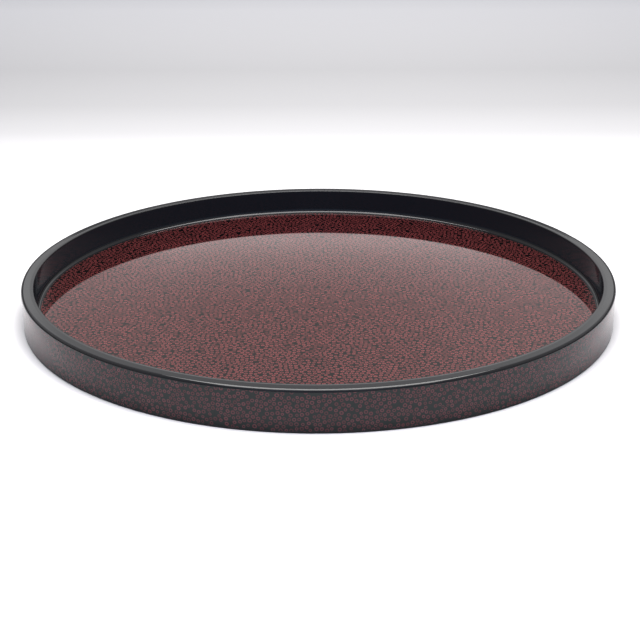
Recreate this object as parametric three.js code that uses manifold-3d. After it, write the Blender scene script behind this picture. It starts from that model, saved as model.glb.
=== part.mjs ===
// A round lacquered serving tray: a bentwood rim glued round a plywood board, cloth and putty over the
// joints, and hard polished lacquer coats outside. Nothing on it moves.
// Millimetres, +Z up. The origin is the middle of the circle on which the foot rests.

import * as THREE from 'three';
import { mergeVertices } from 'three/addons/utils/BufferGeometryUtils.js';
import Module from 'manifold-3d';

// ---- Driving dimensions ----

const trayDiameter = 303; // over the lacquer, one shaku
const trayHeight = 20; // from the foot to the top of the rim

const outerHoopThickness = 2.75; // bent strip that shows its face outside
const innerHoopThickness = 2.75; // bent strip inside it, above the board and below it
const scarfLength = 36; // tapered overlap where the two ends of a strip meet
const scarfGlueGap = 0.3; // glue between the two tapers
const outerScarfAzimuth = 60; // degrees from +X, each hoop's scarf a third of a turn from the last
const innerScarfAzimuth = 180;
const footScarfAzimuth = 300;

const footRecess = 1.7; // underside of the floor above the resting plane
const facePly = 0.9; // upper and lower veneer of the board
const corePly = 1.2; // middle veneer
const boardEdgeGap = 0.2; // glue between the board's edge and the outer hoop
const clothThickness = 0.3; // hemp cloth set in lacquer paste
const coatThickness = 0.4; // ground and lacquer together

const rimOuterEdgeRadius = 1.2; // outer top edge of the rim, over the lacquer
const rimInnerEdgeRadius = 0.5; // inner top edge of the rim, over the lacquer
const footEdgeRadius = 0.6; // both bottom edges of the foot, over the lacquer
const coveRadius = 2.4; // inside corner between floor and rim
const undersideCoveRadius = 0.9; // corner between underside and foot
const blackLip = 1.3; // black lacquer carried down the outside from the top
const blackToe = 0.9; // black lacquer carried up the outside from the foot

const aroundSteps = 64; // flats round every ring and disc
const rimEdgeSteps = 3;
const footEdgeSteps = 2;
const coveSteps = 4;
const undersideCoveSteps = 2;
const scarfSteps = 8;

// ---- Derived radii ----

const outsideRadius = trayDiameter / 2;
const woodOutsideRadius = outsideRadius - coatThickness;
const hoopJointRadius = woodOutsideRadius - outerHoopThickness;
const woodInsideRadius = hoopJointRadius - innerHoopThickness;
const insideRadius = woodInsideRadius - coatThickness;
const boardRadius = hoopJointRadius - boardEdgeGap;

// ---- Derived heights, from the foot upward ----

const undersideClothBottom = footRecess + coatThickness;
const boardBottom = undersideClothBottom + clothThickness;
const coreBottom = boardBottom + facePly;
const coreTop = coreBottom + corePly;
const boardTop = coreTop + facePly;
const floorClothTop = boardTop + clothThickness;
const floorTop = floorClothTop + coatThickness;
const woodTop = trayHeight - coatThickness;

// ---- Materials ----

const paleWood = { color: 0xc9a676, roughness: 0.75, metalness: 0 };
const veneerWood = { color: 0xd6b88c, roughness: 0.75, metalness: 0 };
const hempCloth = { color: 0x8d7a5a, roughness: 0.9, metalness: 0 };
const putty = { color: 0x4b3a2c, roughness: 0.85, metalness: 0 };
const blackLacquer = { color: 0x121317, roughness: 0.08, metalness: 0 };
const ringLacquer = { color: 0x4a2324, roughness: 0.08, metalness: 0 };

// ---- Shape helpers ----

const wasm = await Module();
wasm.setup();

const point = (radius, height) => new THREE.Vector2(radius, height);

// Points along an arc in the radius-height plane. Angles are in degrees, 0 outward and 90 upward.
function arc(centreRadius, centreHeight, radius, fromDegrees, toDegrees, steps) {
  return Array.from({ length: steps + 1 }, (_, step) => {
    const angle = THREE.MathUtils.degToRad(fromDegrees + ((toDegrees - fromDegrees) * step) / steps);
    return point(centreRadius + radius * Math.cos(angle), centreHeight + radius * Math.sin(angle));
  });
}

// Turns a section round the Z axis. A section runs up its outer side and down its inner side.
function turned(section) {
  return new THREE.LatheGeometry(section, aroundSteps).rotateX(Math.PI / 2);
}

function ring(section) {
  return turned([...section, section[0]]);
}

function disc(radius, bottom, top) {
  return turned([point(0, bottom), point(radius, bottom), point(radius, top), point(0, top)]);
}

// ---- Outlines shared by the wood and the coats on it ----

// Each line is given for a surface set back by so much behind the face of the lacquer.

// Rounded top edges of the rim: the outer one from the wall to the top, the inner one from the top down.
function outerRimEdge(setBack) {
  const centre = outsideRadius - rimOuterEdgeRadius;
  return arc(centre, trayHeight - rimOuterEdgeRadius, rimOuterEdgeRadius - setBack, 0, 90, rimEdgeSteps);
}

function innerRimEdge(setBack) {
  const centre = insideRadius + rimInnerEdgeRadius;
  return arc(centre, trayHeight - rimInnerEdgeRadius, rimInnerEdgeRadius - setBack, 90, 180, rimEdgeSteps);
}

// Rounded bottom edges of the foot: the inner one from the recess down, the outer one from the bottom up.
function innerFootEdge(setBack) {
  const centre = insideRadius + footEdgeRadius;
  return arc(centre, footEdgeRadius, footEdgeRadius - setBack, 180, 270, footEdgeSteps);
}

function outerFootEdge(setBack) {
  const centre = outsideRadius - footEdgeRadius;
  return arc(centre, footEdgeRadius, footEdgeRadius - setBack, 270, 360, footEdgeSteps);
}

// The hollow curve from the inner wall to the floor.
function coveLine(setBack) {
  return arc(insideRadius - coveRadius, floorTop + coveRadius, coveRadius + setBack, 0, -90, coveSteps);
}

// The hollow curve from the underside to the foot's inner face.
function undersideCoveLine(setBack) {
  const radius = undersideCoveRadius + setBack;
  const centre = insideRadius - undersideCoveRadius;
  return arc(centre, footRecess - undersideCoveRadius, radius, 90, 0, undersideCoveSteps);
}

// ---- Bentwood hoops ----

function solidFrom(geometry) {
  geometry.deleteAttribute('normal');
  geometry.deleteAttribute('uv');
  const merged = mergeVertices(geometry);
  const vertProperties = merged.attributes.position.array;
  const triVerts = new Uint32Array(merged.index.array);
  return new wasm.Manifold(new wasm.Mesh({ numProp: 3, vertProperties, triVerts }));
}

function geometryFrom(solid) {
  const { vertProperties, triVerts } = solid.getMesh();
  const geometry = new THREE.BufferGeometry();
  geometry.setAttribute('position', new THREE.BufferAttribute(vertProperties, 3));
  geometry.setIndex(new THREE.BufferAttribute(triVerts, 1));
  geometry.computeVertexNormals();
  return geometry;
}

// The thin slanting slot between a strip's two tapered ends. It runs from the strip's outer face to its
// inner face along the scarf's length, and a little past both.
function scarfSlot(innerRadius, outerRadius, azimuthDegrees) {
  const passThrough = 0.5;
  const middleRadius = (innerRadius + outerRadius) / 2;
  const overshoot = 1 + (2 * passThrough) / (outerRadius - innerRadius);
  const sweep = (scarfLength / middleRadius) * overshoot;
  const start = THREE.MathUtils.degToRad(azimuthDegrees) - sweep / 2;
  const edge = (shift) =>
    Array.from({ length: scarfSteps + 1 }, (_, step) => {
      const share = step / scarfSteps;
      const radius = THREE.MathUtils.lerp(outerRadius + passThrough, innerRadius - passThrough, share) + shift;
      const angle = start + sweep * share;
      return new THREE.Vector2(radius * Math.cos(angle), radius * Math.sin(angle));
    });
  const outline = [...edge(scarfGlueGap / 2), ...edge(-scarfGlueGap / 2).reverse()];
  const slot = new THREE.ExtrudeGeometry(new THREE.Shape(outline), { depth: trayHeight, bevelEnabled: false });
  return solidFrom(slot);
}

// A strip bent into a hoop: a turned section, opened by its scarf.
function bentHoop(section, innerRadius, outerRadius, scarfAzimuth) {
  return geometryFrom(solidFrom(ring(section)).subtract(scarfSlot(innerRadius, outerRadius, scarfAzimuth)));
}

function outerHoop() {
  const section = [
    ...outerFootEdge(coatThickness),
    ...outerRimEdge(coatThickness),
    point(hoopJointRadius, woodTop),
    point(hoopJointRadius, coatThickness),
  ];
  return bentHoop(section, hoopJointRadius, woodOutsideRadius, outerScarfAzimuth);
}

function innerHoop() {
  const section = [
    point(woodInsideRadius, boardTop),
    point(hoopJointRadius, boardTop),
    point(hoopJointRadius, woodTop),
    ...innerRimEdge(coatThickness),
  ];
  return bentHoop(section, woodInsideRadius, hoopJointRadius, innerScarfAzimuth);
}

function footHoop() {
  const section = [
    ...innerFootEdge(coatThickness),
    point(hoopJointRadius, coatThickness),
    point(hoopJointRadius, boardBottom),
    point(woodInsideRadius, boardBottom),
  ];
  return bentHoop(section, woodInsideRadius, hoopJointRadius, footScarfAzimuth);
}

// ---- Putty in the two corners ----

function floorCovePutty() {
  return ring([
    point(woodInsideRadius, floorClothTop),
    ...coveLine(coatThickness),
  ]);
}

function undersideCovePutty() {
  return ring([
    ...undersideCoveLine(coatThickness),
    point(woodInsideRadius, undersideClothBottom),
  ]);
}

// ---- Lacquer coats ----

// One continuous black coat: outside lip, rim top, inner wall and cove, as far as the ringed floor.
function rimBlackCoat() {
  return ring([
    point(outsideRadius, trayHeight - blackLip),
    ...outerRimEdge(0),
    ...innerRimEdge(0),
    ...coveLine(0),
    ...coveLine(coatThickness).reverse(),
    ...innerRimEdge(coatThickness).reverse(),
    ...outerRimEdge(coatThickness).reverse(),
    point(woodOutsideRadius, trayHeight - blackLip),
  ]);
}

// Black coat round the foot, from the toe outside to the underside.
function footBlackCoat() {
  return ring([
    ...undersideCoveLine(0),
    ...innerFootEdge(0),
    ...outerFootEdge(0),
    point(outsideRadius, blackToe),
    point(woodOutsideRadius, blackToe),
    ...outerFootEdge(coatThickness).reverse(),
    ...innerFootEdge(coatThickness).reverse(),
    ...undersideCoveLine(coatThickness).reverse(),
  ]);
}

// Ringed coat on the outside wall, between the lip and the toe.
function wallPatternCoat() {
  return ring([
    point(woodOutsideRadius, blackToe),
    point(outsideRadius, blackToe),
    point(outsideRadius, trayHeight - blackLip),
    point(woodOutsideRadius, trayHeight - blackLip),
  ]);
}

// ---- The tray ----

const tray = new THREE.Group();

function add(name, geometry, look) {
  const mesh = new THREE.Mesh(geometry, new THREE.MeshStandardMaterial(look));
  mesh.name = name;
  tray.add(mesh);
}

add('outer_hoop', outerHoop(), paleWood);
add('inner_hoop', innerHoop(), paleWood);
add('foot_hoop', footHoop(), paleWood);

add('board_back_ply', disc(boardRadius, boardBottom, coreBottom), veneerWood);
add('board_core_ply', disc(boardRadius, coreBottom, coreTop), veneerWood);
add('board_face_ply', disc(boardRadius, coreTop, boardTop), veneerWood);

add('floor_cloth', disc(woodInsideRadius, boardTop, floorClothTop), hempCloth);
add('underside_cloth', disc(woodInsideRadius, undersideClothBottom, boardBottom), hempCloth);
add('floor_cove_putty', floorCovePutty(), putty);
add('underside_cove_putty', undersideCovePutty(), putty);

add('rim_black_coat', rimBlackCoat(), blackLacquer);
add('wall_pattern_coat', wallPatternCoat(), ringLacquer);
add('floor_pattern_coat', disc(insideRadius - coveRadius, floorClothTop, floorTop), ringLacquer);
add('foot_black_coat', footBlackCoat(), blackLacquer);
const undersideCoatRadius = insideRadius - undersideCoveRadius;
add('underside_black_coat', disc(undersideCoatRadius, footRecess, undersideClothBottom), blackLacquer);

export default tray;
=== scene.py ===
import bmesh
import bpy
import numpy as np
from mathutils import Euler, Matrix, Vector
from mathutils.geometry import delaunay_2d_cdt


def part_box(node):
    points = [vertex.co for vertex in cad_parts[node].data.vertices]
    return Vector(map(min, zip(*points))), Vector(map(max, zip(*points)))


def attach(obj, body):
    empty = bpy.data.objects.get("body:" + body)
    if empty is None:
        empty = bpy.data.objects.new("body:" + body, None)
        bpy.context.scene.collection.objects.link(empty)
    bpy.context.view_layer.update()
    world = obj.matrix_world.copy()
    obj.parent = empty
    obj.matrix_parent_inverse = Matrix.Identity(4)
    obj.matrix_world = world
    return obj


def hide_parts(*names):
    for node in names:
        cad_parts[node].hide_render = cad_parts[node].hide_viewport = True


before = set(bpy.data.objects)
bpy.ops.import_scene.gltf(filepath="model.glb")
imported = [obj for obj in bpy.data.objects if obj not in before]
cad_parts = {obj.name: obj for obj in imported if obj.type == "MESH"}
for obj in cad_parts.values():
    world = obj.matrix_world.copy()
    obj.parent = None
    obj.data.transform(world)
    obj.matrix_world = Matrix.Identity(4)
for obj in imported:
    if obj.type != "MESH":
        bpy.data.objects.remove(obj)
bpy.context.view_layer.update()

# A round serving tray in polished lacquer. Metres, +Z up, the foot resting on the plane z = 0. Black
# lacquer covers the rim, the foot and the underside. The floor and the outside wall carry thousands of
# small red rings, each with a dark eye, laid in a black ground and polished level with it.

MM = 0.001
SEED = 20

# ---- Places, all read from the frame ----

floor_low, floor_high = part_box("floor_pattern_coat")
wall_low, wall_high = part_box("wall_pattern_coat")
rim_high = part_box("rim_black_coat")[1]
foot_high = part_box("foot_black_coat")[1]
underside_low, underside_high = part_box("underside_black_coat")
cloth_low, cloth_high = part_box("floor_cloth")
under_cloth_low, under_cloth_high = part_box("underside_cloth")

outside_radius = wall_high.x
floor_edge = floor_high.x
floor_top = floor_high.z
coat = floor_high.z - floor_low.z
rim_top = rim_high.z
lip_edge = wall_high.z
toe_edge = wall_low.z
recess = underside_low.z
cloth_radius = cloth_high.x

# ---- Sizes of the finish ----

cove_radius = 2.4 * MM
inside_radius = floor_edge + cove_radius
under_cove_radius = foot_high.x - underside_high.x - (outside_radius - inside_radius)
rim_outer_edge_start = 10  # degrees; the lip already leans back by so much where the black begins
rim_outer_edge_radius = (rim_top - lip_edge) / (1 - np.sin(np.radians(rim_outer_edge_start)))
rim_inner_edge_radius = 0.5 * MM
foot_edge_radius = 0.6 * MM
rim_lean = 1.2 * MM  # the innermost part of the rim's top leans inward
rim_lean_drop = 0.065 * MM
rim_overlap = 1.8 * MM  # how far the black coat covers the outermost rings of the floor
proud = 0.02 * MM  # how far the black coat stands over the edge of the ringed one
rim_tuck = 0.01 * MM  # how far the black coat's foot goes into the floor
underside_wave = 0.015 * MM  # how far the underside sags and rises
underside_wave_length = 7 * MM  # for one radian of the wave
cloth_draw = 0.03 * MM  # how much thinner the cloth is at its edge, on each face
around_steps = 512
arc_steps = 10
longest_step = 0.45 * MM

# ---- Sizes of the rings ----

floor_spacing = 2.54 * MM  # between neighbouring seeds, on average
wall_spacing = 2.42 * MM
floor_share = (0.43, 0.495)  # least and greatest radius of a seed as a share of the spacing
wall_share = (0.36, 0.495)
row_share = 0.866  # height of a triangular lattice's rows as a share of its spacing
seed_scatter = 0.33  # how far a seed strays from the lattice, as a share of the spacing
settling_rounds = 50
ring_share = 0.83  # outer radius of a ring's line as a share of its seed's radius
line_wobble = 0.03  # unevenness of a ring's line
floor_eye = 0.28  # radius of a ring's eye as a share of its outer radius
wall_eye = 0.42
eye_variation = 0.12
eye_limits = (0.7, 1.3)
line_limit = 0.95  # furthest a ring's line may reach, as a share of the way to its cell's outline
eye_limit = 0.8  # furthest its eye may reach, as a share of the way to its line
floor_margin = 1.3 * MM  # how far the floor's seeds reach past its edge, under the black coat
floor_inset = 0.2 * MM  # how far inside that circle the seeds settle
floor_fence_gap = 1.0 * MM  # from the seeds' circle to the posts of the fence
floor_post_spacing = 1.5 * MM
wall_margin = 1.6 * MM  # how far the wall's seeds reach past the lip and the toe, before the cut
wall_fence_gap = 2 * MM
wall_post_spacing = 2 * MM
wall_lap = 12 * MM  # how far the unrolled wall is repeated past its two ends
sector_count = 8
ring_tones = (0.85, 1.0, 1.15)  # the rings' reds, from darker to lighter
ground_slot = len(ring_tones)
eye_slot = ground_slot + 1
cut_reach = 1e-7  # a point this near to a cutting plane counts as lying on it
snug = 1e-9  # points nearer than this count as one


# ---- Meshes ----

def mesh_object(name, points, faces, slots=None, normals=None):
    """A mesh from an array of points and a list of arrays of faces, each array with its own corner
    count. slots are the material slots of the faces, one array for each array of faces."""
    mesh = bpy.data.meshes.new(name)
    counts = np.concatenate([np.full(len(block), block.shape[1]) for block in faces])
    corners = np.concatenate([block.ravel() for block in faces])
    mesh.vertices.add(len(points))
    mesh.vertices.foreach_set("co", np.asarray(points, np.float32).ravel())
    mesh.loops.add(len(corners))
    mesh.loops.foreach_set("vertex_index", corners.astype(np.int32))
    mesh.polygons.add(len(counts))
    starts = np.concatenate([[0], np.cumsum(counts)[:-1]])
    mesh.polygons.foreach_set("loop_start", starts.astype(np.int32))
    mesh.polygons.foreach_set("loop_total", counts.astype(np.int32))
    mesh.polygons.foreach_set("use_smooth", np.ones(len(counts), bool))
    if slots is not None:
        mesh.polygons.foreach_set("material_index", np.concatenate(slots).astype(np.int32))
    mesh.update(calc_edges=True)
    if normals is not None:
        mesh.normals_split_custom_set_from_vertices(normals.tolist())
    piece = bpy.data.objects.new(name, mesh)
    bpy.context.scene.collection.objects.link(piece)
    return piece


def finished(piece, slot, materials, *nodes):
    """Gives a piece its materials and its body, and hides the CAD nodes it stands for. slot is not used."""
    for material in materials:
        piece.data.materials.append(material)
    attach(piece, "root")
    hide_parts(*nodes)


def arc(centre_radius, centre_height, radius, first, last, steps=arc_steps):
    """Points (centre + radius * (cos a, sin a)) for equal steps of a from first to last, in degrees;
    0 points outward and 90 upward."""
    angle = np.radians(np.linspace(first, last, steps + 1))
    return np.column_stack((centre_radius + radius * np.cos(angle), centre_height + radius * np.sin(angle)))


def spaced(section):
    """The closed section with every straight run cut into equal steps no longer than longest_step."""
    ends = np.roll(section, -1, axis=0)
    counts = np.maximum(np.ceil(np.linalg.norm(ends - section, axis=1) / longest_step), 1).astype(int)
    run = np.repeat(np.arange(len(section)), counts)
    share = (np.arange(len(run)) - np.repeat(np.cumsum(counts) - counts, counts)) / counts[run]
    return section[run] + (ends - section)[run] * share[:, None]


def revolved(name, section, slots=None):
    """A closed section of (radius, height) points carried round Z: (r cos a, r sin a, z) for equal
    steps of the angle a. The section runs anticlockwise, so the faces point outwards. slots are the
    material slots of the section's edges."""
    angle = np.linspace(0, 2 * np.pi, around_steps, endpoint=False)
    radius, height = section.T
    grid = np.stack(
        (np.outer(np.cos(angle), radius), np.outer(np.sin(angle), radius),
         np.broadcast_to(height, (around_steps, len(section)))), axis=-1)
    index = np.arange(around_steps * len(section)).reshape(around_steps, -1)
    beyond, above = np.roll(index, -1, axis=0), np.roll(index, -1, axis=1)
    faces = np.stack((index, beyond, np.roll(beyond, -1, axis=1), above), axis=-1).reshape(-1, 4)
    if slots is not None:
        slots = [np.tile(slots, around_steps)]
    return mesh_object(name, grid.reshape(-1, 3), [faces], slots)


def revolved_disc(name, radii, bottom, top, steps):
    """A closed disc: rings of points at the given radii on a lower and an upper surface, whose heights
    are arrays over those radii, round a pole on each, and a wall that joins the two outer rings."""
    angle = np.linspace(0, 2 * np.pi, steps, endpoint=False)
    line = np.concatenate((radii, radii[::-1]))
    height = np.concatenate((bottom[1:], top[1:][::-1]))
    grid = np.stack(
        (np.outer(np.cos(angle), line), np.outer(np.sin(angle), line),
         np.broadcast_to(height, (steps, len(line)))), axis=-1)
    index = np.arange(steps * len(line)).reshape(steps, -1)
    beyond = np.roll(index, -1, axis=0)
    side = np.stack((index[:, :-1], beyond[:, :-1], beyond[:, 1:], index[:, 1:]), axis=-1).reshape(-1, 4)
    low_pole, high_pole = np.full(steps, index.size), np.full(steps, index.size + 1)
    caps = np.concatenate((
        np.column_stack((beyond[:, 0], index[:, 0], low_pole)),
        np.column_stack((index[:, -1], beyond[:, -1], high_pole))))
    poles = [(0, 0, bottom[0]), (0, 0, top[0])]
    return mesh_object(name, np.vstack((grid.reshape(-1, 3), poles)), [side, caps])


# ---- Rings: seeds settled side by side, each in the middle of its own cell ----

def scattered(width, height, spacing, rng):
    """A triangular lattice of seeds over a rectangle, each moved at random by about a third of the way to
    its neighbours, so that they lie irregularly but no part of the area has more than another."""
    columns, rows = round(width / spacing), round(height / (row_share * spacing))
    column, row = np.meshgrid(np.arange(columns), np.arange(rows))
    across = (column + row % 2 / 2).ravel() * width / columns
    points = np.column_stack((across, (row.ravel() + 0.5) * height / rows))
    return points + rng.normal(0, seed_scatter * spacing, points.shape)


def push_apart(points, radii, keep_in, period=None):
    """Settles seeds so that they hardly overlap. In each round the points are sorted into square bins
    as wide as the largest seed, each is compared with those in its own and the eight next bins, and it
    moves away from every one that is nearer than their two radii together, by half of what is missing.
    keep_in brings strays back. With a period, the first coordinate runs in a circle."""
    reach = 2 * radii.max()
    each = np.arange(len(points))
    for _ in range(settling_rounds):
        low = points.min(0) if period is None else np.array((0, points[:, 1].min()))
        span = points.max(0) - low
        across = int(period / reach) if period else int(span[0] / reach) + 1
        width = period / across if period else reach
        up = int(span[1] / reach) + 1
        column = np.clip(((points[:, 0] - low[0]) / width).astype(int), 0, across - 1)
        row = ((points[:, 1] - low[1]) / reach).astype(int)
        home = column * up + row
        order = np.argsort(home, kind="stable")
        held = np.bincount(home, minlength=across * up)
        place = np.cumsum(held)[:, None] - held[:, None] + np.arange(held.max())
        table = np.where(np.arange(held.max()) < held[:, None], order[np.minimum(place, len(order) - 1)], -1)
        move = np.zeros_like(points)
        for sideways in (-1, 0, 1):
            for upward in (-1, 0, 1):
                there, over = column + sideways, row + upward
                inside = (over >= 0) & (over < up)
                if period is None:
                    inside &= (there >= 0) & (there < across)
                near = table[there % across * up + np.clip(over, 0, up - 1)]
                real = inside[:, None] & (near >= 0) & (near != each[:, None])
                apart = points[:, None] - points[near]
                if period is not None:
                    apart[..., 0] -= period * np.round(apart[..., 0] / period)
                distance = np.maximum(np.linalg.norm(apart, axis=-1), snug)
                missing = np.where(real, np.maximum(radii[:, None] + radii[near] - distance, 0), 0)
                move += (apart * (0.5 * missing / distance)[..., None]).sum(1)
        points = keep_in(points + move)
    return points


def triangulated(points):
    """The Delaunay triangles between the points, as an array of three point numbers each."""
    return np.array(delaunay_2d_cdt(points.tolist(), [], [], 0, snug, False)[2])


def ring_sizes(rng, sizes, fence_count, eye):
    """Each cell's ring and eye radius, none for the fence, and the slots of its ring, ground and eye."""
    outer = np.concatenate((sizes * ring_share, np.zeros(fence_count)))
    inner = outer * eye * np.clip(rng.normal(1, eye_variation, len(outer)), *eye_limits)
    slots = {
        "ring": rng.integers(0, len(ring_tones), len(outer)),
        "ground": np.full(len(outer), ground_slot),
        "eye": np.full(len(outer), eye_slot),
    }
    return outer, inner, slots


def ring_cells(triangles, places, count, fence_from, radii, rng):
    """Fills a triangulation of the seeds with rings. A cell's outline runs through the middles of the
    seed's edges and the centroids of its triangles. Towards each of those points stand a point of the
    ring's line and one of its eye. Between two neighbouring directions lie a piece of ground, a piece of
    the ring and a piece of the eye. Cells from fence_from on are plain ground. places are the triangles'
    corners, and radii what ring_sizes gives. Returns flat points, blocks of (faces, slots, the faces'
    seeds), and the cells as plain quads without rings."""
    outer, inner, slots = radii
    total = len(triangles)
    following = np.roll(triangles, -1, axis=1)
    pairs = np.sort(np.stack((triangles, following), axis=-1), axis=-1).reshape(-1, 2)
    edges, edge_of = np.unique(pairs, axis=0, return_inverse=True)
    next_edge = edge_of.reshape(total, 3)
    last_edge = np.roll(next_edge, 1, axis=1)

    # The points are numbered in blocks: seeds, centroids, middles of edges, then the points of the lines
    # and the eyes towards the centroids, and those towards the middles, one for each side of an edge.
    middles = count + total
    lines_to_centroids = middles + len(edges)
    eyes_to_centroids = lines_to_centroids + 3 * total
    lines_to_middles = eyes_to_centroids + 3 * total
    eyes_to_middles = lines_to_middles + 2 * len(edges)
    points = np.zeros((eyes_to_middles + 2 * len(edges), 2))
    wobble = rng.normal(1, line_wobble, len(points))
    centroid = places.mean(1)
    middle = (places + np.roll(places, -1, axis=1)) / 2
    points[triangles.ravel()] = places.reshape(-1, 2)
    points[count:middles] = centroid
    points[middles + next_edge.ravel()] = middle.reshape(-1, 2)

    def place_ring(target, line_id, eye_id):
        """Places a ring's line and eye points on the rays from the seeds to the targets."""
        ray = target - places
        length = np.linalg.norm(ray, axis=-1)
        line = np.minimum(outer[triangles] * wobble[line_id], line_limit * length)
        eye = np.minimum(inner[triangles] * wobble[eye_id], eye_limit * line)
        points[line_id] = places + ray * (line / length)[..., None]
        points[eye_id] = places + ray * (eye / length)[..., None]

    def towards_middle(edge):
        """Numbers of the middle, line and eye points of each corner towards an edge."""
        side = 2 * edge + (edges[edge, 0] != triangles)
        return middles + edge, lines_to_middles + side, eyes_to_middles + side

    corner = np.arange(3 * total).reshape(total, 3)
    towards_next, towards_last = towards_middle(next_edge), towards_middle(last_edge)
    towards_centroid = (np.repeat(count + np.arange(total)[:, None], 3, axis=1),
                        lines_to_centroids + corner, eyes_to_centroids + corner)
    place_ring(centroid[:, None], *towards_centroid[1:])
    place_ring(middle, *towards_next[1:])

    ringed = (triangles < fence_from).ravel()
    own, fence = triangles.ravel()[ringed], triangles.ravel()[~ringed]
    blocks = []
    for start, stop in ((towards_next, towards_centroid), (towards_centroid, towards_last)):
        rim_a, line_a, eye_a = (numbers.ravel()[ringed] for numbers in start)
        rim_b, line_b, eye_b = (numbers.ravel()[ringed] for numbers in stop)
        blocks.append((np.column_stack((line_a, rim_a, rim_b, line_b)), slots["ground"][own], own))
        blocks.append((np.column_stack((eye_a, line_a, line_b, eye_b)), slots["ring"][own], own))
        blocks.append((np.column_stack((own, eye_a, eye_b)), slots["eye"][own], own))
    bare = np.stack((triangles, towards_next[0], towards_centroid[0], towards_last[0]), axis=-1)
    bare = bare.reshape(-1, 4)
    blocks.append((bare[~ringed], slots["ground"][fence], fence))
    return points, blocks, bare


def floor_rings(materials):
    """The ringed floor: seeds settled in a circle a little wider than the floor, within a fence of posts
    that closes the outermost cells, cut into sectors so that no piece is too large."""
    rng = np.random.default_rng(SEED)
    reach = floor_edge + floor_margin
    seeds = scattered(2 * reach, 2 * reach, floor_spacing, rng) - reach
    seeds = seeds[np.linalg.norm(seeds, axis=1) < reach]
    count = len(seeds)
    sizes = floor_spacing * rng.uniform(*floor_share, count)

    def keep_in(points):
        far = np.linalg.norm(points, axis=1)
        return points * np.minimum(1, (reach - floor_inset) / far)[:, None]

    seeds = push_apart(seeds, sizes, keep_in)
    posts = np.linspace(0, 2 * np.pi, int(2 * np.pi * reach / floor_post_spacing), endpoint=False)
    fence = (reach + floor_fence_gap) * np.column_stack((np.cos(posts), np.sin(posts)))
    points = np.vstack((seeds, fence))
    triangles = triangulated(points)
    radii = ring_sizes(rng, sizes, len(fence), floor_eye)
    cells = ring_cells(triangles, points[triangles], len(points), count, radii, rng)
    sector = ((np.arctan2(points[:, 1], points[:, 0]) / (2 * np.pi) + 1) % 1 * sector_count).astype(int)
    for number in range(sector_count):
        piece = floor_sector(f"floor_rings_{number + 1}", cells, sector == number)
        finished(piece, "ringed_lacquer", materials, "floor_pattern_coat")


def floor_sector(name, cells, chosen):
    """The chosen cells of the floor as a closed slab: the rings above, the bare cells a coat's thickness
    below, and a skirt along the edges that no other face shares."""
    flat, blocks, bare = cells
    size = len(flat)
    faces = [block[chosen[own]] for block, _, own in blocks]
    slots = [slot[chosen[own]] for _, slot, own in blocks]
    below = bare[chosen[bare[:, 0]]]
    starts, stops = below.ravel(), np.roll(below, -1, axis=1).ravel()
    open_edge = ~np.isin(starts * size + stops, stops * size + starts)
    starts, stops = starts[open_edge], stops[open_edge]
    faces += [below[:, ::-1] + size, np.column_stack((stops, starts, starts + size, stops + size))]
    slots += [np.full(len(below), ground_slot), np.full(len(starts), ground_slot)]
    used = np.unique(np.concatenate([block.ravel() for block in faces]))
    upper = used < size
    place = np.column_stack((flat[used % size], np.where(upper, floor_top, floor_top - coat)))
    upright = np.column_stack((np.zeros((len(used), 2)), np.where(upper, 1.0, -1.0)))
    return mesh_object(name, place, [np.searchsorted(used, block) for block in faces], slots, upright)


def wall_cells():
    """The cells of the unrolled wall, as (distance round, height). The wall is repeated for a stretch past
    its two ends before it is triangulated, and the triangles whose middle lies on it are kept, so that
    the pattern runs on round the tray."""
    rng = np.random.default_rng(SEED + 1)
    girth = 2 * np.pi * outside_radius
    low, high = toe_edge - wall_margin, lip_edge + wall_margin
    seeds = scattered(girth, high - low, wall_spacing, rng) + (0, low)
    seeds[:, 0] %= girth
    count = len(seeds)
    sizes = wall_spacing * rng.uniform(*wall_share, count)

    def keep_in(points):
        return np.column_stack((points[:, 0] % girth, np.clip(points[:, 1], low, high)))

    seeds = push_apart(seeds, sizes, keep_in, girth)
    posts = np.linspace(0, girth, int(girth / wall_post_spacing), endpoint=False)
    fence = np.vstack([np.column_stack((posts, np.full(len(posts), level)))
                       for level in (low - wall_fence_gap, high + wall_fence_gap)])
    points = np.vstack((seeds, fence))
    everyone = np.arange(len(points))
    early, late = points[:, 0] < wall_lap, points[:, 0] > girth - wall_lap
    strip = np.vstack((points, points[early] + (girth, 0), points[late] - (girth, 0)))
    original = np.concatenate((everyone, everyone[early], everyone[late]))
    triangles = triangulated(strip)
    midst = strip[triangles].mean(1)[:, 0]
    triangles = triangles[(midst >= 0) & (midst < girth)]
    radii = ring_sizes(rng, sizes, len(fence), wall_eye)
    return ring_cells(original[triangles], strip[triangles], len(points), count, radii, rng)


def wall_rings(materials):
    """The ringed outside wall. Its cells are wrapped as (R cos(d / R), R sin(d / R), z) for a distance d
    and a height z, and cut level at the lip and the toe. The wall is then cut in two along X, so that
    neither piece is too large."""
    flat, blocks, _ = wall_cells()
    turn = flat[:, 0] / outside_radius
    wrapped = np.column_stack((outside_radius * np.cos(turn), outside_radius * np.sin(turn), flat[:, 1]))
    sheet = mesh_object("wall_rings_sheet", wrapped, [faces for faces, _, _ in blocks],
                        [slots for _, slots, _ in blocks])
    level_cuts = (((0, 0, lip_edge), (0, 0, 1)), ((0, 0, toe_edge), (0, 0, -1)))
    for name, side in (("wall_rings_front", -1), ("wall_rings_back", 1)):
        half = cut_sheet(sheet.data, (*level_cuts, ((0, 0, 0), (0, -side, 0))))
        piece = closed_wall(name, *half, side)
        finished(piece, "ringed_lacquer", materials, "wall_pattern_coat")
    bpy.data.objects.remove(sheet)


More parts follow.
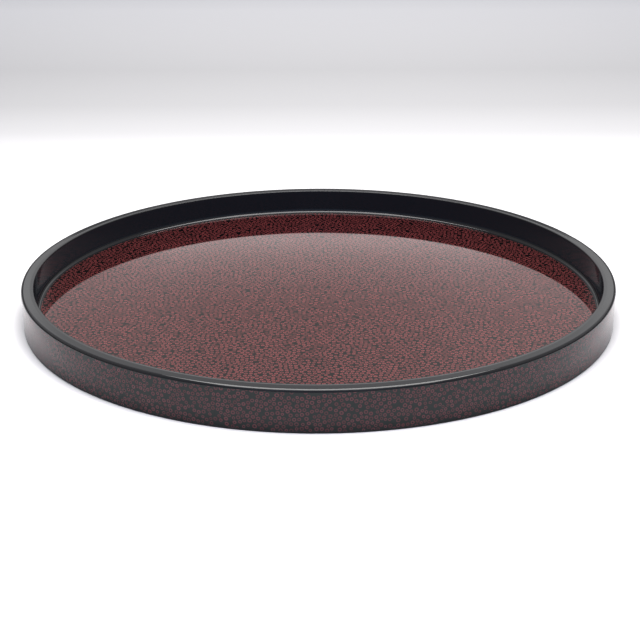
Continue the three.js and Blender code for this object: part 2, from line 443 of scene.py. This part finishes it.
def cut_sheet(mesh, planes):
    """What is left of a mesh behind each of the (point, normal) planes, as points, arrays of faces, one for
    each corner count, and their material slots."""
    cut = bmesh.new()
    cut.from_mesh(mesh)
    for point, normal in planes:
        bmesh.ops.bisect_plane(cut, geom=cut.verts[:] + cut.edges[:] + cut.faces[:], dist=cut_reach,
                               plane_co=point, plane_no=normal, clear_outer=True)
    kept = bpy.data.meshes.new("cut")
    cut.to_mesh(kept)
    cut.free()
    points = np.empty(3 * len(kept.vertices))
    corners = np.empty(len(kept.loops), int)
    counts, slots = np.empty(len(kept.polygons), int), np.empty(len(kept.polygons), int)
    kept.vertices.foreach_get("co", points)
    kept.loops.foreach_get("vertex_index", corners)
    kept.polygons.foreach_get("loop_total", counts)
    kept.polygons.foreach_get("material_index", slots)
    bpy.data.meshes.remove(kept)
    used, corners = np.unique(corners, return_inverse=True)
    starts = np.cumsum(counts) - counts
    faces = [corners[starts[counts == sides][:, None] + np.arange(sides)] for sides in np.unique(counts)]
    return points.reshape(-1, 3)[used], faces, [slots[counts == sides] for sides in np.unique(counts)]


def on_plane(distance):
    """Which points the last cut left on its plane."""
    return np.abs(distance) < 1.02 * cut_reach


def closed_wall(name, front, faces, slots, side):
    """Closes half of the wall's sheet. The back is a strip between the lip and the toe, a coat's thickness
    inside, whose triangles take the next point of whichever outline is behind. Skirts join the outlines
    to it and one flat face closes each end. side is the sign of y, and along the angle round the half."""
    along = side * np.arctan2(np.abs(front[:, 1]), front[:, 0])
    lines = []
    for height in (toe_edge, lip_edge):
        line = np.flatnonzero(on_plane(front[:, 2] - height))
        lines.append(line[np.argsort(along[line])])
    toe_line, lip_line = lines
    deeper = (outside_radius - coat) / outside_radius
    back = np.vstack((front[toe_line], front[lip_line])) * (deeper, deeper, 1)
    toe_back = len(front) + np.arange(len(toe_line))
    lip_back = toe_back[-1] + 1 + np.arange(len(lip_line))
    skirts = [
        np.column_stack((toe_line[1:], toe_line[:-1], toe_back[:-1], toe_back[1:])),
        np.column_stack((lip_line[:-1], lip_line[1:], lip_back[1:], lip_back[:-1]))]
    order = np.argsort(np.concatenate((along[toe_line[1:]], along[lip_line[1:]])), kind="stable")
    from_toe = order < len(toe_line) - 1
    toe_now, lip_now = np.cumsum(from_toe), np.cumsum(~from_toe)
    zipper = np.where(
        from_toe[:, None],
        np.column_stack((toe_back[toe_now], toe_back[toe_now - 1], lip_back[lip_now])),
        np.column_stack((lip_back[lip_now - 1], lip_back[lip_now], toe_back[toe_now])))
    ends = []
    for first, sign in ((0, -1), (-1, 1)):
        edge = np.flatnonzero(on_plane(front[:, 1]) & (front[:, 0] * side * sign < 0))
        edge = edge[np.argsort(front[edge, 2])]
        around = np.concatenate((edge, [lip_back[first], toe_back[first]]))
        ends.append(around[None, ::-sign])
    closing = [*skirts, zipper, *ends]
    slots = slots + [np.full(len(block), ground_slot) for block in closing]
    outward = np.vstack((front, -back)) * (1, 1, 0)
    outward /= np.linalg.norm(outward, axis=1)[:, None]
    return mesh_object(name, np.vstack((front, back)), faces + closing, slots, outward)


# ---- Black lacquer ----

def rim_lacquer(material, painted_light_wall_material):
    """The black coat of the rim, as one closed section: lip, outer edge, top, inner edge, inner wall and
    cove, and back along the wood a coat's thickness behind. The lip and the foot of the cove stand a
    hair proud of the rings that run up to them. The inner wall has the second material, a lighter and
    bluer black that carries painted light."""
    top_outer = outside_radius - rim_outer_edge_radius * np.cos(np.radians(rim_outer_edge_start))
    top_inner = inside_radius + rim_inner_edge_radius
    bend = top_inner + rim_lean
    inner_top = rim_top - rim_lean_drop
    top = [(bend + 0.08 * MM, rim_top), (bend - 0.08 * MM, rim_top - rim_lean_drop / 15)]
    cove = arc(floor_edge, floor_top + cove_radius, cove_radius, 0, -90, 16)
    toe = cove[:, 0] < floor_edge + 0.6 * MM
    cove[toe, 1] = np.maximum(cove[toe, 1], floor_top + proud)
    section = np.vstack((
        [(outside_radius - coat, lip_edge)],
        arc(top_outer + proud, rim_top - rim_outer_edge_radius, rim_outer_edge_radius,
            rim_outer_edge_start, 90, 14),
        top,
        arc(top_inner, inner_top - rim_inner_edge_radius, rim_inner_edge_radius, 87, 180),
        cove,
        [(floor_edge - 0.02 * MM, floor_top - rim_tuck), (floor_edge + rim_overlap, floor_top - rim_tuck),
         (inside_radius + coat, floor_top + 0.1 * MM),
         (inside_radius + coat, rim_top - coat), (outside_radius - coat, rim_top - coat)]))
    section = spaced(section)
    middle = (section + np.roll(section, -1, axis=0)) / 2
    # The inner wall's faces take the second material, whose colour carries painted light.
    inner_wall = (middle[:, 0] < inside_radius + 1e-6) & (middle[:, 1] > floor_top + 0.7 * cove_radius)
    piece = revolved("rim_lacquer", section, inner_wall.astype(int))
    finished(piece, "black_lacquer", [material, painted_light_wall_material], "rim_black_coat")


def foot_lacquer(material):
    """The black coat of the foot, as one closed section: toe, outer edge, resting face, inner edge and the
    hollow corner below the board, and back along the wood."""
    outer, inner = outside_radius - foot_edge_radius, inside_radius + foot_edge_radius
    hollow = inside_radius - under_cove_radius
    section = np.vstack((
        arc(hollow, recess - under_cove_radius, under_cove_radius, 90, 0),
        arc(inner, foot_edge_radius, foot_edge_radius, 180, 270),
        arc(outer + proud, foot_edge_radius, foot_edge_radius, 270, 360),
        [(outside_radius + proud, toe_edge - 0.03 * MM), (outside_radius + proud * 0.6, toe_edge),
         (outside_radius - coat, toe_edge), (outside_radius - coat, coat),
         (inside_radius + coat, coat), (inside_radius + coat, recess + coat), (hollow, recess + coat)]))
    piece = revolved("foot_lacquer", spaced(section))
    finished(piece, "black_lacquer", [material], "foot_black_coat")


def underside_lacquer(material):
    """The black coat under the board: a closed disc of radius R whose lower face sags and rises along its
    radius r by wave sin(pi r / R) sin(r / wave length), as a brushed coat does."""
    radius = foot_high.x - (outside_radius - inside_radius) - under_cove_radius
    ring_count, steps = 49, 256
    radii = np.linspace(0, radius, ring_count)
    calm = np.sin(np.pi * radii / radius)
    low = recess + underside_wave * calm * np.sin(radii / underside_wave_length)
    piece = revolved_disc("underside_lacquer", radii[1:], low, np.full(ring_count, recess + coat), steps)
    finished(piece, "black_lacquer", [material], "underside_black_coat")


def cloth_layer(name, low, high, node, material):
    """One disc of hemp cloth stretched over the board and glued down: flat, and thinner by a little where
    the lacquer paste has drawn it in towards its edge, as the sixth power of r / R."""
    ring_count, steps = 41, 192
    radii = np.linspace(0, cloth_radius, ring_count)
    draw = cloth_draw * (radii / cloth_radius) ** 6
    piece = revolved_disc(name, radii[1:], low + draw, high - draw, steps)
    finished(piece, "hemp_cloth", [material], node)


# ---- Node groups, each built once ----

def new_group(name, inputs, outputs):
    """An empty shader group. inputs and outputs are (name, kind, default) and (name, kind)."""
    group = bpy.data.node_groups.new(name, "ShaderNodeTree")
    for label, kind, value in inputs:
        socket = group.interface.new_socket(label, in_out="INPUT", socket_type=kind)
        if value is not None:
            socket.default_value = value
    for label, kind in outputs:
        group.interface.new_socket(label, in_out="OUTPUT", socket_type=kind)
    return group, group.nodes.new("NodeGroupInput"), group.nodes.new("NodeGroupOutput")


def add_node(tree, kind, settings=None, **inputs):
    """A node with its settings, whose inputs are values or sockets to link from. An input is named by its
    label with underscores for spaces, or by _ and its number."""
    node = tree.nodes.new(kind)
    for key, value in (settings or {}).items():
        setattr(node, key, value)
    for key, value in inputs.items():
        socket = node.inputs[int(key[1:])] if key[0] == "_" else node.inputs[key.replace("_", " ")]
        if isinstance(value, bpy.types.NodeSocket):
            tree.links.new(value, socket)
        else:
            socket.default_value = value
    return node


def math_node(tree, operation, first, second=0.0, clamp=False):
    """The output of a Math node."""
    return add_node(tree, "ShaderNodeMath", {"operation": operation, "use_clamp": clamp},
                    _0=first, _1=second).outputs[0]


def polish_group():
    """How a polished coat differs from a perfect one. Ripple is the slow waviness left by the charcoal
    block, Haze the faint cloudy patches and fine rubbing marks in the gloss, Dust the specks."""
    group, given, out = new_group(
        "polish",
        [("Vector", "NodeSocketVector", None), ("Ripple Size", "NodeSocketFloat", 0.02),
         ("Base Roughness", "NodeSocketFloat", 0.06), ("Haze Amount", "NodeSocketFloat", 0.02)],
        [("Roughness", "NodeSocketFloat"), ("Height", "NodeSocketFloat")])
    scale = math_node(group, "DIVIDE", 1.0, given.outputs["Ripple Size"])
    slow = add_node(group, "ShaderNodeTexNoise", Vector=given.outputs["Vector"], Scale=scale, Detail=1.0)
    cloud = add_node(group, "ShaderNodeTexNoise", Vector=given.outputs["Vector"], Scale=55.0, Detail=3.0)
    stretch = add_node(group, "ShaderNodeMapping", Vector=given.outputs["Vector"], Scale=(40, 900, 900),
                       Rotation=(0, 0, 0.6))
    rubbing = add_node(group, "ShaderNodeTexNoise", Vector=stretch.outputs[0], Scale=1.0, Detail=2.0)
    marks = math_node(group, "GREATER_THAN", rubbing.outputs["Fac"], 0.68)
    specks = add_node(group, "ShaderNodeTexVoronoi", Vector=given.outputs["Vector"], Scale=160.0)
    dust = math_node(group, "LESS_THAN", specks.outputs["Distance"], 0.035)
    haze = math_node(group, "ADD", math_node(group, "MULTIPLY", marks, 0.4), cloud.outputs["Fac"])
    haze = math_node(group, "MULTIPLY", haze, given.outputs["Haze Amount"])
    rough = math_node(group, "ADD", haze, given.outputs["Base Roughness"])
    rough = math_node(group, "ADD", rough, math_node(group, "MULTIPLY", dust, 0.1), clamp=True)
    group.links.new(rough, out.inputs["Roughness"])
    group.links.new(slow.outputs["Fac"], out.inputs["Height"])
    return group


def grain_group():
    """Wood grain that follows a direction. The coordinate's first part runs along the grain; the other
    two are drawn out by Stretch, so that the fibres are long. Gives a colour, a roughness and a height."""
    group, given, out = new_group(
        "grain",
        [("Vector", "NodeSocketVector", None), ("Stretch", "NodeSocketFloat", 14.0),
         ("Pale", "NodeSocketColor", (0.6, 0.4, 0.2, 1)), ("Dark", "NodeSocketColor", (0.3, 0.2, 0.1, 1))],
        [("Color", "NodeSocketColor"), ("Roughness", "NodeSocketFloat"), ("Height", "NodeSocketFloat")])
    across = add_node(group, "ShaderNodeCombineXYZ", _0=1.0, _1=given.outputs["Stretch"],
                      _2=given.outputs["Stretch"])
    long = add_node(group, "ShaderNodeVectorMath", {"operation": "MULTIPLY"}, _0=given.outputs["Vector"],
                    _1=across.outputs[0])
    bands = add_node(group, "ShaderNodeTexNoise", Vector=long.outputs[0], Scale=18.0, Detail=4.0,
                     Distortion=0.4)
    fibres = add_node(group, "ShaderNodeTexNoise", Vector=long.outputs[0], Scale=160.0, Detail=3.0)
    both = math_node(group, "ADD", math_node(group, "MULTIPLY", bands.outputs["Fac"], 0.65),
                     math_node(group, "MULTIPLY", fibres.outputs["Fac"], 0.35))
    mix = add_node(group, "ShaderNodeMix", {"data_type": "RGBA"}, Factor=both)
    group.links.new(given.outputs["Dark"], mix.inputs[6])
    group.links.new(given.outputs["Pale"], mix.inputs[7])
    rough = math_node(group, "ADD", math_node(group, "MULTIPLY", both, 0.25), 0.5)
    group.links.new(mix.outputs[2], out.inputs["Color"])
    group.links.new(rough, out.inputs["Roughness"])
    group.links.new(both, out.inputs["Height"])
    return group


def weave_group():
    """Plain weave: over and under where the sines of the two directions multiply. Thread is the height,
    Colour varies from thread to thread."""
    group, given, out = new_group(
        "weave",
        [("Vector", "NodeSocketVector", None), ("Thread Width", "NodeSocketFloat", 0.0007),
         ("Pale", "NodeSocketColor", (0.5, 0.4, 0.3, 1)), ("Dark", "NodeSocketColor", (0.2, 0.15, 0.1, 1))],
        [("Color", "NodeSocketColor"), ("Height", "NodeSocketFloat")])
    turns = math_node(group, "DIVIDE", np.pi, given.outputs["Thread Width"])
    phase = add_node(group, "ShaderNodeVectorMath", {"operation": "SCALE"}, _0=given.outputs["Vector"],
                     Scale=turns)
    axes = add_node(group, "ShaderNodeSeparateXYZ", _0=phase.outputs[0])
    over = math_node(group, "MULTIPLY", math_node(group, "SINE", axes.outputs[0]),
                     math_node(group, "SINE", axes.outputs[1]))
    height = math_node(group, "ADD", math_node(group, "MULTIPLY", over, 0.5), 0.5)
    slub = add_node(group, "ShaderNodeTexNoise", Vector=given.outputs["Vector"], Scale=320.0, Detail=2.0)
    shade = math_node(group, "ADD", math_node(group, "MULTIPLY", height, 0.6),
                      math_node(group, "MULTIPLY", slub.outputs["Fac"], 0.4))
    mix = add_node(group, "ShaderNodeMix", {"data_type": "RGBA"}, Factor=shade)
    group.links.new(given.outputs["Dark"], mix.inputs[6])
    group.links.new(given.outputs["Pale"], mix.inputs[7])
    group.links.new(mix.outputs[2], out.inputs["Color"])
    group.links.new(height, out.inputs["Height"])
    return group


def use_group(tree, group, **inputs):
    """A group placed in a tree with its own values."""
    return add_node(tree, "ShaderNodeGroup", {"node_tree": group}, **inputs)


# ---- Materials ----

def new_material(name):
    """A material with its tree, its shader and the object's own coordinates."""
    material = bpy.data.materials.new(name)
    material.use_nodes = True
    tree = material.node_tree
    shader = tree.nodes["Principled BSDF"]
    return material, tree, shader, add_node(tree, "ShaderNodeTexCoord").outputs["Object"]


def bumped(tree, shader, height, distance, strength=1.0):
    """Raises the shader's surface by a height between 0 and 1, times the distance in metres."""
    bump = add_node(tree, "ShaderNodeBump", Height=height, Distance=distance, Strength=strength)
    tree.links.new(bump.outputs[0], shader.inputs["Normal"])


def lacquer(name, colour, polish, roughness=0.035, ripple=0.022, wave=0.000012):
    """Polished lacquer: one even colour under a clear, glassy surface that is a little wavy."""
    material, tree, shader, place = new_material(name)
    effect = use_group(tree, polish, Vector=place, Ripple_Size=ripple, Base_Roughness=roughness,
                       Haze_Amount=0.02)
    shader.inputs["Base Color"].default_value = (*colour, 1)
    shader.inputs["IOR"].default_value = 1.5
    tree.links.new(effect.outputs["Roughness"], shader.inputs["Roughness"])
    bumped(tree, shader, effect.outputs["Height"], wave)
    return material


def ringed_lacquer(where, red, ground, eye, polish):
    """The slots of a ringed piece: the ring's red a little darker, even and a little lighter, then the
    ground and the eye."""
    reds = [lacquer(f"{where}_ring_red_{n + 1}", [part * share for part in red], polish)
            for n, share in enumerate(ring_tones)]
    return reds + [lacquer(f"{where}_ring_ground", ground, polish), lacquer(f"{where}_ring_eye", eye, polish)]


def wood(name, grain, pale, dark, bent):
    """Bare wood under the coats. On a bent strip the grain runs round the tray, as (angle, radius,
    height); on a flat ply it runs along X."""
    material, tree, shader, place = new_material(name)
    if bent:
        axes = add_node(tree, "ShaderNodeSeparateXYZ", _0=place)
        angle = math_node(tree, "ARCTAN2", axes.outputs[1], axes.outputs[0])
        radius = add_node(tree, "ShaderNodeVectorMath", {"operation": "LENGTH"}, _0=place).outputs["Value"]
        place = add_node(tree, "ShaderNodeCombineXYZ", _0=math_node(tree, "MULTIPLY", angle, 0.15),
                         _1=radius, _2=axes.outputs[2]).outputs[0]
    effect = use_group(tree, grain, Vector=place, Stretch=14.0, Pale=(*pale, 1), Dark=(*dark, 1))
    tree.links.new(effect.outputs["Color"], shader.inputs["Base Color"])
    tree.links.new(effect.outputs["Roughness"], shader.inputs["Roughness"])
    bumped(tree, shader, effect.outputs["Height"], 0.0001, 0.6)
    return material


def hemp(weave):
    """Hemp cloth stiff with lacquer paste."""
    material, tree, shader, place = new_material("hemp_weave")
    effect = use_group(tree, weave, Vector=place, Thread_Width=0.0007, Pale=(0.42, 0.33, 0.2, 1),
                       Dark=(0.10, 0.07, 0.04, 1))
    tree.links.new(effect.outputs["Color"], shader.inputs["Base Color"])
    shader.inputs["Roughness"].default_value = 0.9
    bumped(tree, shader, effect.outputs["Height"], 0.00015)
    return material


def putty():
    """Wood flour bound with lacquer, a little gritty."""
    material, tree, shader, place = new_material("wood_putty")
    grit = add_node(tree, "ShaderNodeTexNoise", Vector=place, Scale=900.0, Detail=4.0)
    mix = add_node(tree, "ShaderNodeMix", {"data_type": "RGBA"}, Factor=grit.outputs["Fac"])
    mix.inputs[6].default_value, mix.inputs[7].default_value = (0.05, 0.03, 0.02, 1), (0.12, 0.08, 0.05, 1)
    tree.links.new(mix.outputs[2], shader.inputs["Base Color"])
    shader.inputs["Roughness"].default_value = 0.85
    bumped(tree, shader, grit.outputs["Fac"], 0.00008)
    return material


# ---- Camera, light and table ----

room_strength = 2.2  # the room's levels are divided by it, so that its ramps stay below 1


def camera():
    """In front of the tray and above it, looking down at it, turned a little about its line of sight."""
    looking_down, roll = 21.668, -0.16
    data = bpy.data.cameras.new("camera")
    data.lens, data.sensor_width = 72.17, 36
    data.clip_start, data.clip_end = 0.02, 30
    view = bpy.data.objects.new("camera", data)
    view.location = (0.00073, -0.6304, 0.24124)
    level_view = Euler(np.radians((90 - looking_down, 0, 0))).to_matrix()
    view.rotation_euler = (level_view @ Matrix.Rotation(np.radians(roll), 3, "Z")).to_euler()
    bpy.context.scene.collection.objects.link(view)
    bpy.context.scene.camera = view


def softbox():
    """The soft light above: a square metre, a metre up, a little to the right."""
    light = bpy.data.lights.new("softbox", "AREA")
    light.shape, light.size = "SQUARE", 1.0
    light.energy = 25.6
    light.color = (1.0, 0.985, 0.97)
    lamp = bpy.data.objects.new("softbox", light)
    lamp.location = (0.05, 0.05, 1.0)
    bpy.context.scene.collection.objects.link(lamp)


def table():
    """A wide round table with painted shade, like a paper sweep: white in front, greyer from beside the tray,
    deepening its soft shadow there, and greyer towards the back as light fades.
    """
    radius, sides = 5.0, 128
    angle = np.linspace(0, 2 * np.pi, sides, endpoint=False)
    edge = radius * np.column_stack((np.cos(angle), np.sin(angle), np.zeros(sides)))
    each = np.arange(sides)
    faces = np.column_stack((each, (each + 1) % sides, np.full(sides, sides)))
    top = mesh_object("table", np.vstack((edge, [(0, 0, 0)])), [faces])
    material, tree, shader, place = new_material("table_paper_painted_shade")
    # Distance behind the middle of the tray, and the paper's grey there: painted shade, darker further back.
    stops = ((-0.5, 0.76), (-0.15, 0.76), (-0.1, 0.66), (-0.05, 0.575), (0.0, 0.52), (0.1, 0.46),
             (0.2, 0.43), (0.31, 0.43), (0.355, 0.405), (0.387, 0.374), (0.42, 0.365), (0.49, 0.342),
             (0.656, 0.351), (1.07, 0.518), (1.5, 0.54))
    near, far = stops[0][0], stops[-1][0]
    behind = add_node(tree, "ShaderNodeSeparateXYZ", _0=place).outputs[1]
    share = add_node(tree, "ShaderNodeMapRange", Value=behind, From_Min=near, From_Max=far).outputs[0]
    # The ramp paints shade into the paper's colour, by distance behind the tray.
    grey = ramp(tree, share, [((y - near) / (far - near), level) for y, level in stops], (1.0, 0.99, 1.0))
    tree.links.new(grey, shader.inputs["Base Color"])
    shader.inputs["Roughness"].default_value = 0.9
    shader.inputs["Specular IOR Level"].default_value = 0.1
    top.data.materials.append(material)


def ramp(tree, value, stops, tint=(1, 1, 1)):
    """The output of a colour ramp with (place, grey level) stops, each times the tint."""
    node = add_node(tree, "ShaderNodeValToRGB", Fac=value)
    elements = node.color_ramp.elements
    while len(elements) < len(stops):
        elements.new(1.0)
    for element, (place, level) in zip(elements, stops, strict=True):
        element.position = place
        element.color = (*(level * part for part in tint), 1)
    return node.outputs["Color"]


def halved(tree, value):
    """The value from -1 to 1 as a place on a ramp, from 0 to 1."""
    return math_node(tree, "ADD", math_node(tree, "MULTIPLY", value, 0.5), 0.5)


def vector_node(tree, operation, first, second):
    """The output of a Vector Math node; to SCALE a vector, the second value is a number."""
    second = {"Scale": second} if operation == "SCALE" else {"_1": second}
    return add_node(tree, "ShaderNodeVectorMath", {"operation": operation}, _0=first, **second).outputs[0]


def bright_strip(tree, height):
    """Light by height, the sine of the angle above the horizon: a pale room up to a dimmer band, a bright
    line that begins sharply about 17.5 degrees up, and an even wall above it."""
    levels = ((0.0, .76), (0.15, .74), (0.22, .47), (0.3016, .45), (0.303, 1.3), (0.3048, 2.05),
              (0.3085, 1.905), (0.3129, 1.685), (0.321, 1.42), (0.3269, 1.278), (0.3328, 1.181),
              (0.3445, 1.01), (0.3562, .928), (0.3678, .90), (0.3909, .908), (0.408, .927), (1.0, .95))
    return ramp(tree, height, [(sine, level / room_strength) for sine, level in levels])


def side_patches(tree, sideways, height):
    """Extra light above the band to the left and the right, by the sine of the azimuth."""
    levels = ((-1.0, 0), (-0.5, 0), (-0.34, .52), (-0.237, .48), (-0.213, .17), (-0.182, .13),
              (-0.148, .10), (-0.116, .05), (-0.083, 0), (0, 0), (0.083, .09), (0.116, .17), (0.15, .22),
              (0.182, .27), (0.213, .30), (0.233, .50), (0.34, .50), (0.5, 0), (1.0, 0))
    patch = ramp(tree, halved(tree, sideways),
                 [(sine / 2 + 0.5, level / room_strength) for sine, level in levels])
    above = add_node(tree, "ShaderNodeMapRange", Value=height, From_Min=0.3, From_Max=0.31).outputs[0]
    return vector_node(tree, "SCALE", patch, above)


def fainter_aside(tree, sideways, height):
    """A factor that takes up to two fifths of the light away to the left and right, from the bright line
    downwards."""
    aside = add_node(tree, "ShaderNodeMapRange", Value=math_node(tree, "ABSOLUTE", sideways), From_Min=0.12,
                     From_Max=0.21).outputs[0]
    low = add_node(tree, "ShaderNodeMapRange", Value=height, From_Min=0.345, From_Max=0.312).outputs[0]
    loss = math_node(tree, "MULTIPLY", math_node(tree, "MULTIPLY", aside, low), -0.4)
    return math_node(tree, "ADD", loss, 1.0)


def surroundings():
    """What the polish mirrors: a pale room with a bright line at the back, lighter patches to each side,
    and a near side that is darker and cooler."""
    world = bpy.data.worlds.new("studio")
    bpy.context.scene.world = world
    world.use_nodes = True
    tree = world.node_tree
    tree.nodes.clear()
    place = add_node(tree, "ShaderNodeTexCoord").outputs["Generated"]
    across, behind, height = add_node(tree, "ShaderNodeSeparateXYZ", _0=place).outputs
    flat = add_node(tree, "ShaderNodeCombineXYZ", _0=across, _1=behind).outputs[0]
    length = add_node(tree, "ShaderNodeVectorMath", {"operation": "LENGTH"}, _0=flat).outputs["Value"]
    sideways = math_node(tree, "DIVIDE", across, math_node(tree, "MAXIMUM", length, 0.001))
    light = vector_node(tree, "ADD", bright_strip(tree, height), side_patches(tree, sideways, height))
    light = vector_node(tree, "SCALE", light, fainter_aside(tree, sideways, height))
    near = add_node(tree, "ShaderNodeValToRGB", Fac=halved(tree, behind))
    dim, full = near.color_ramp.elements
    dim.color, full.color, full.position = (0.58, 0.68, 0.92, 1), (1, 1, 1, 1), 0.5
    room = vector_node(tree, "MULTIPLY", light, near.outputs["Color"])
    glow = add_node(tree, "ShaderNodeBackground", Color=room, Strength=room_strength)
    end = add_node(tree, "ShaderNodeOutputWorld")
    tree.links.new(glow.outputs[0], end.inputs["Surface"])


# ---- The tray ----

bpy.context.scene.view_settings.view_transform = "Standard"
bpy.context.scene.view_settings.gamma = 0.714  # a camera's usual contrast
camera()
softbox()
surroundings()
table()

polish, grain, weave = polish_group(), grain_group(), weave_group()
black = lacquer("black_polish", (0.018, 0.018, 0.020), polish)
# Painted light: the inner wall's black is lighter and bluer, standing in for glare and a bluish glow seen on
# it; its higher roughness is the coat's own.
hazy_black_painted_light = lacquer("black_inner_wall_painted_light", (0.027, 0.032, 0.042), polish, roughness=0.06)
rim_lacquer(black, hazy_black_painted_light)
foot_lacquer(black)
underside_lacquer(black)
floor_rings(ringed_lacquer(
    "floor", (0.116, 0.032, 0.033), (0.004, 0.001, 0.001), (0.004, 0.001, 0.001), polish))
# Partly painted reflection: the wall's reds, ground and eye are lifted by about a hundredth in every channel,
# standing in for the white table mirrored in the wall; under that lift they are the lacquer's own colours.
wall_rings(ringed_lacquer(
    "wall", (0.112, 0.040, 0.048), (0.014, 0.021, 0.022), (0.014, 0.018, 0.019), polish))

hemp_weave = hemp(weave)
cloth_layer("floor_cloth_weave", cloth_low.z, cloth_high.z, "floor_cloth", hemp_weave)
cloth_layer("underside_cloth_weave", under_cloth_low.z, under_cloth_high.z, "underside_cloth",
            hemp_weave)

bent_wood = wood("bent_hoop_wood", grain, (0.62, 0.43, 0.24), (0.36, 0.22, 0.11), True)
ply_wood = wood("ply_veneer_wood", grain, (0.70, 0.52, 0.32), (0.45, 0.30, 0.17), False)
corner_putty = putty()
hidden = {
    "outer_hoop": bent_wood, "inner_hoop": bent_wood, "foot_hoop": bent_wood,
    "board_back_ply": ply_wood, "board_core_ply": ply_wood, "board_face_ply": ply_wood,
    "floor_cove_putty": corner_putty, "underside_cove_putty": corner_putty,
}
for node, material in hidden.items():
    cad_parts[node].material_slots[0].material = material
